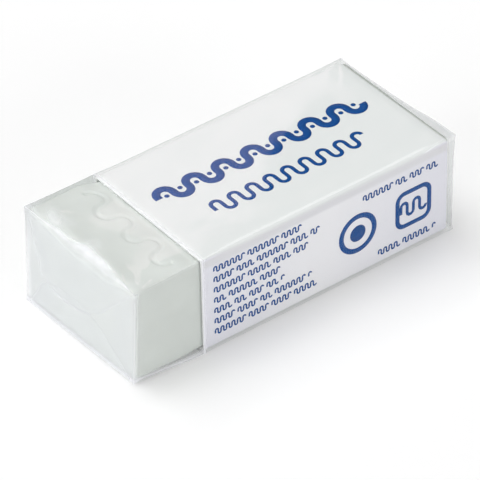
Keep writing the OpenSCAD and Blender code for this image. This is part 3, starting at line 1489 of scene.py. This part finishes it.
    def _shape(self, point: Vector, lift: float = 0.0) -> tuple[Vector, float, float]:
        """Settle one point of the plain box on the wrapped block.

        Args:
            point: A point of the plain box.
            lift: How far outside the skin it lies.

        Returns:
            The point on the film, how white it is there from haze and painted highlights, and how much
            painted shade it takes, from 0 to 1.
        """
        corner = self.skin_box.nearest_corner(point)
        reach = (point - corner).length
        placed, normal = rounded(point, self.skin_box, self._radii_at(point, reach))
        flat = 1 - abs(normal.x)
        near, far = self.crumple_reach
        open_end = blend_in(point.x, self.skin_box.low.x + near, self.skin_box.low.x + far)
        top = blend_in(normal.z, -0.1, 0.3)
        wide_x, wide_y = self.wide_crumple
        wide = noise.noise(Vector((placed.x / wide_x, placed.y / wide_y, 0.4)))
        narrow = noise.noise(Vector(placed[axis] / self.narrow_crumple[axis] for axis in range(3)))
        out = self.crumple * 2 * abs(normal.x * normal.z) * open_end * top * (0.7 * wide + 0.35 * narrow)
        swell = noise.noise(placed / self.ripple_size + Vector(self.ripple_room))
        out += self.ripple * flat * blend_in(reach, 0, 3 * MM) * swell
        out += self._puckers(placed, corner) * flat * (0.3 + 0.7 * top)
        out += lift - self._hug(placed, normal)
        placed += normal * out
        placed += Vector((corner.x, corner.y, 0)).normalized() * self.ear_out * bell(reach, self.ear_width)
        placed = self._pulled(placed)
        placed.z = max(placed.z, self.box.low.z)
        haze = self._crease_haze_and_highlight(normal, reach, open_end * top, wide, narrow) + self._fold_haze_and_highlight(point, normal)
        return placed, min(1.0, haze), self._bend_shade(point, normal)

    def _bend_shade(self, point: Vector, normal: Vector) -> float:
        """Return how much painted shade the film takes: on its long back edges, standing in for the light
        that their bend turns aside, and over the gap at its far end, where the card's edge shades the vinyl.

        Args:
            point: A point of the plain box.
            normal: The film's outward direction there.

        Returns:
            The painted shade, from 0 to 1.
        """
        over_top = blend_in(point.z, self.skin_box.middle.z, self.skin_box.high.z)
        edge = blend_in(normal.y, 0.15, 0.75)
        gap = blend_in(point.x, self.sleeve.high.x - 0.1 * MM, self.sleeve.high.x + 0.25 * MM)
        at_back = over_top * edge * (self.back_shade + self.bare_back_shade * self._bare(point))
        return max(at_back, self.far_gap_shade * gap * blend_in(normal.z, 0.2, 0.6))

    def _fold_haze_and_highlight(self, point: Vector, normal: Vector) -> float:
        """Return how white the film is: haze where it lies double and painted reflection on the end face,
        with painted highlights where it bends over the sleeve's cut edge and along its hem at the bare end.

        Args:
            point: A point of the plain box.
            normal: The film's outward direction there.

        Returns:
            The whiteness, from 0 upwards.
        """
        from_end = point.x - self.skin_box.low.x
        at_back = blend_in(point.y, 0, self.skin_box.high.y)
        cut_edge = bell(point.x - self.sleeve.low.x - 0.02 * MM, 0.2 * MM)
        hem = self._bare(point) * blend_in(point.z, 1.0 * MM, 0.3 * MM) * blend_in(normal.z, -1.0, -0.8)
        strip = 0.0
        if point.x < 0:
            strip = bell(from_end, 0.8 * MM) * (0.4 + 0.6 * at_back)
            strip += 2.0 * bell(from_end, 0.55 * MM) * blend_in(-normal.y, 0.7, 1.0)
        haze = self.end_face_haze_and_reflection * abs(normal.x) ** 4 + self.end_strip_haze * strip
        return haze + self.cut_edge_highlight[normal.y < -0.5] * cut_edge + self.hem_highlight[normal.x < -0.5] * hem

    def _crease_haze_and_highlight(self, normal: Vector, reach: float, crumpled: float, wide: float, narrow: float) -> float:
        """Return how white the film is: crease haze with a painted highlight along the crumpled end crease,
        painted highlights along its edges, and whitening at its corners.

        Args:
            normal: The film's outward direction, before it is crumpled.
            reach: Distance from the nearest corner.
            crumpled: 1 at the crumpled end crease, 0 away from it.
            wide: Slow noise along the crease.
            narrow: Fine noise along the crease.

        Returns:
            The whiteness, from 0 upwards.
        """
        tilt = math.atan2(abs(normal.x), max(normal.z, 1e-6))
        streak = bell(tilt - self.crease_tilt + 0.35 * wide, self.crease_width) * (1 - abs(normal.y))
        crease = crumpled * streak * max(self.crease_floor, 0.65 + 0.7 * wide + 0.3 * narrow)
        upright = self.upright_highlight * blend_in(2 * abs(normal.x * normal.y), 0.6, 1.0)
        across = self.end_edge_highlight[normal.x < 0] * blend_in(2 * abs(normal.x * normal.z), 0.8, 1.0)
        along = self.long_edge_highlight * blend_in(2 * abs(normal.y * normal.z), 0.8, 1.0)
        return crease + upright + across + along + self.ear_haze * bell(reach, self.ear_width)

    def _skin(self, film: Material) -> None:
        """Build the closed skin.

        Args:
            film: Its material.
        """
        bm = self._grid()
        for attribute in (self.finish.haze_and_highlight_attribute, self.finish.shade_attribute):
            bm.verts.layers.float.new(attribute)
        whiten = bm.verts.layers.float[self.finish.haze_and_highlight_attribute]
        darken = bm.verts.layers.float[self.finish.shade_attribute]
        for vert in bm.verts:
            vert.co, vert[whiten], vert[darken] = self._shape(vert.co.copy())
        settle(make_piece("film_skin", bm, [film]), self.node)

    def _lay(self, point: Vector, lift: float) -> Vector:
        """Lay a flap's point on the skin, or just inside it where the lift is negative."""
        return self._shape(point, lift)[0]

    def _flaps(self, film: Material, end: End) -> None:
        """Fold one end: two side tucks inside the skin, then the bottom flap, then the top flap.

        Args:
            film: The folded film's material.
            end: Which end is folded.
        """
        word = end.name.lower()
        flaps = [
            FilmFlap(
                f"film_tuck_{word}_{tuck}", end, ((side * 9.75, 0.3), (side * 9.75, 12.5)),
                ((side * 5.9, 1.7), (side * 5.9, 8.6)), -0.1 * MM, film, curl=0.0, corner=0.05, haze=0.04,
                rim_haze=0.34,
            )
            for side, tuck in ((-1, "front"), (1, "back"))
        ]
        flaps.append(
            FilmFlap(
                f"film_flap_{word}_bottom", end, ((-9.4, 0.4), (9.4, 0.4)), ((-2.4, 5.8), (6.4, 5.6)),
                0.05 * MM, film, curl=0.0,
            )
        )
        flaps.append(
            FilmFlap(
                f"film_flap_{word}_top", end, ((-9.3, 12.6), (9.3, 12.6)), ((-1.9, 4.6), (6.3, 4.2)),
                0.1 * MM, film,
            )
        )
        end_x = self.skin_box.high.x if end is End.FAR else self.skin_box.low.x
        for flap in flaps:
            flap.build(end_x, self.node, self._lay)

    def _seam(self, film: Material) -> None:
        """Lay the lapped seam along the inside of the base.

        Args:
            film: Its material.
        """
        bm = bmesh.new()
        bmesh.ops.create_grid(bm, x_segments=60, y_segments=12, size=0.5)
        whiten = bm.verts.layers.float.new(self.finish.haze_and_highlight_attribute)
        length = self.block.high.x - self.block.low.x
        for vert in bm.verts:
            vert[whiten] = self.seam_haze * blend_in(abs(vert.co.y), 0.42, 0.5)
            height = self.box.low.z + self.seam_lift
            vert.co = Vector((vert.co.x * length, vert.co.y * self.seam_width, height))
        bmesh.ops.reverse_faces(bm, faces=bm.faces)
        settle(make_piece("film_seam", bm, [film]), self.node)

    def build(self) -> None:
        """Wrap the film and fold its ends."""
        film = self.finish.material()
        folded = self.folded_finish.material()
        self._skin(film)
        for end in End:
            self._flaps(folded, end)
        self._seam(film)


@dataclass(frozen=True)
class ProductCamera:
    """The camera, placed round the point that it looks at.

    Angles are in degrees, distance is in metres, and the sensor and the lens are in millimetres.
    """

    target: tuple[float, float, float] = (-2.58 * MM, -2.8 * MM, 6.5 * MM)
    azimuth: float = -36.79
    elevation: float = 38.33
    roll: float = -1.24
    distance: float = 0.45
    sensor: float = 36.0
    lens: float = 304.1
    clip: Pair = (0.01, 20.0)

    def build(self) -> None:
        """Create the camera and make it the scene's own."""
        turn, height, roll = (math.radians(angle) for angle in (self.azimuth, self.elevation, self.roll))
        flat = math.cos(height)
        back = Vector((math.sin(turn) * flat, -math.cos(turn) * flat, math.sin(height)))
        level = Vector((0, 0, 1)).cross(back).normalized()
        above = back.cross(level)
        right = level * math.cos(roll) + above * math.sin(roll)
        up = back.cross(right)
        data = bpy.data.cameras.new("camera")
        data.lens = self.lens
        data.sensor_width = self.sensor
        data.sensor_fit = "HORIZONTAL"
        data.clip_start, data.clip_end = self.clip
        camera = bpy.data.objects.new("camera", data)
        turned = Matrix((right, up, back)).transposed().to_4x4()
        camera.matrix_world = Matrix.Translation(Vector(self.target) + back * self.distance) @ turned
        bpy.context.scene.collection.objects.link(camera)
        bpy.context.scene.camera = camera


class LampShape(Enum):
    """Outline of a lamp."""

    PANEL = "RECTANGLE"
    OVAL = "ELLIPSE"


@dataclass(frozen=True)
class SoftLamp:
    """A broad lamp that faces the part, with its height upwards before it is spun.

    Toward points from the part to the lamp. Lengths are in metres, power in watts and spin in degrees.
    """

    name: str
    toward: tuple[float, float, float]
    distance: float
    width: float
    height: float
    power: float
    colour: tuple[float, float, float] = (1.0, 1.0, 1.0)
    spin: float = 0.0
    shape: LampShape = LampShape.PANEL

    def build(self, aim: Vector) -> None:
        """Hang the lamp.

        Args:
            aim: The point that it faces.
        """
        data = bpy.data.lights.new(self.name, "AREA")
        data.shape = self.shape.value
        data.size = self.width
        data.size_y = self.height
        data.energy = self.power
        data.color = self.colour
        lamp = bpy.data.objects.new(self.name, data)
        way = Vector(self.toward).normalized()
        lamp.location = aim + way * self.distance
        turn = Quaternion((0, 0, 1), math.radians(self.spin))
        lamp.rotation_euler = (way.to_track_quat("Z", "Y") @ turn).to_euler()
        bpy.context.scene.collection.objects.link(lamp)


@dataclass(frozen=True)
class PaleStudio:
    """A white floor and soft lamps."""

    floor_size: float = 6.0
    floor_tone: Colour = (0.88, 0.88, 0.88, 1.0)
    floor_lift: float = 0.15
    fill: float = 0.33
    mirrored_fill: float = 0.2
    background: float = 1.0
    lamps: tuple[SoftLamp, ...] = (
        SoftLamp("key_lamp", (-0.17, 0.33, 0.93), 1.0, 0.65, 0.65, 4.35),
        SoftLamp("left_lamp", (-1.0, 0.1, 0.25), 1.3, 0.9, 0.6, 5.25),
        SoftLamp("front_lamp", (0.1, -1.0, 0.2), 1.3, 0.9, 0.6, 5.75),
        SoftLamp("glint_lamp", (-0.17, 0.64, 0.74), 1.0, 0.5, 0.12, 0.85),
        SoftLamp("edge_lamp", (0.47, 0.02, 0.88), 1.0, 0.7, 0.22, 1.1),
        SoftLamp(
            "veil_lamp", (0.468, 0.657, 0.592), 1.0, 0.13, 0.075, 0.05, colour=(1.0, 0.76, 0.84), spin=55,
            shape=LampShape.OVAL,
        ),
    )

    def _floor(self) -> None:
        """Lay the floor: white to the camera where nothing shades it."""
        bm = bmesh.new()
        bmesh.ops.create_grid(bm, x_segments=1, y_segments=1, size=self.floor_size / 2)
        sheet = ShaderSheet("floor")
        matt = sheet.add("ShaderNodeBsdfDiffuse")
        matt.inputs["Color"].default_value = self.floor_tone
        glow = sheet.add("ShaderNodeEmission")
        glow.inputs["Color"].default_value = WHITE
        rays = sheet.add("ShaderNodeLightPath").outputs
        seen = sheet.arithmetic("MAXIMUM", rays["Is Camera Ray"], rays["Is Glossy Ray"])
        sheet.join(sheet.arithmetic("MULTIPLY", seen, self.floor_lift), glow.inputs["Strength"])
        both = sheet.add("ShaderNodeAddShader")
        sheet.join(matt.outputs[0], both.inputs[0])
        sheet.join(glow.outputs[0], both.inputs[1])
        make_piece("floor", bm, [sheet.finish(both.outputs[0])])

    def _world(self) -> None:
        """Set the room's light: white to the camera, soft for the part and dim in its reflections."""
        world = bpy.data.worlds.new("room")
        bpy.context.scene.world = world
        world.use_nodes = True
        tree = world.node_tree
        tree.nodes.clear()
        output = tree.nodes.new("ShaderNodeOutputWorld")
        rays = tree.nodes.new("ShaderNodeLightPath")
        lights: list[Node] = []
        for strength in (self.fill, self.mirrored_fill, self.background):
            light = tree.nodes.new("ShaderNodeBackground")
            light.inputs["Color"].default_value = WHITE
            light.inputs["Strength"].default_value = strength
            lights.append(light)
        before = lights[0].outputs[0]
        for ray, light in zip(("Is Glossy Ray", "Is Camera Ray"), lights[1:]):
            mix = tree.nodes.new("ShaderNodeMixShader")
            tree.links.new(rays.outputs[ray], mix.inputs[0])
            tree.links.new(before, mix.inputs[1])
            tree.links.new(light.outputs[0], mix.inputs[2])
            before = mix.outputs[0]
        tree.links.new(before, output.inputs["Surface"])

    def build(self, aim: Vector) -> None:
        """Set up the floor, the room and the lamps.

        Args:
            aim: The point that the lamps face.
        """
        self._floor()
        self._world()
        for lamp in self.lamps:
            lamp.build(aim)
        bpy.context.scene.view_settings.view_transform = "Standard"


def main() -> None:
    """Build the camera, the studio and the part, from the inside out."""
    logging.basicConfig(level=logging.INFO, format="%(name)s: %(message)s")
    ProductCamera().build()
    PaleStudio().build(Extent.of_node("film_wrap").middle)
    for maker in (EraserBlock(), CardSleeve(), FilmWrap()):
        maker.build()


if __name__ == "__main__":
    main()
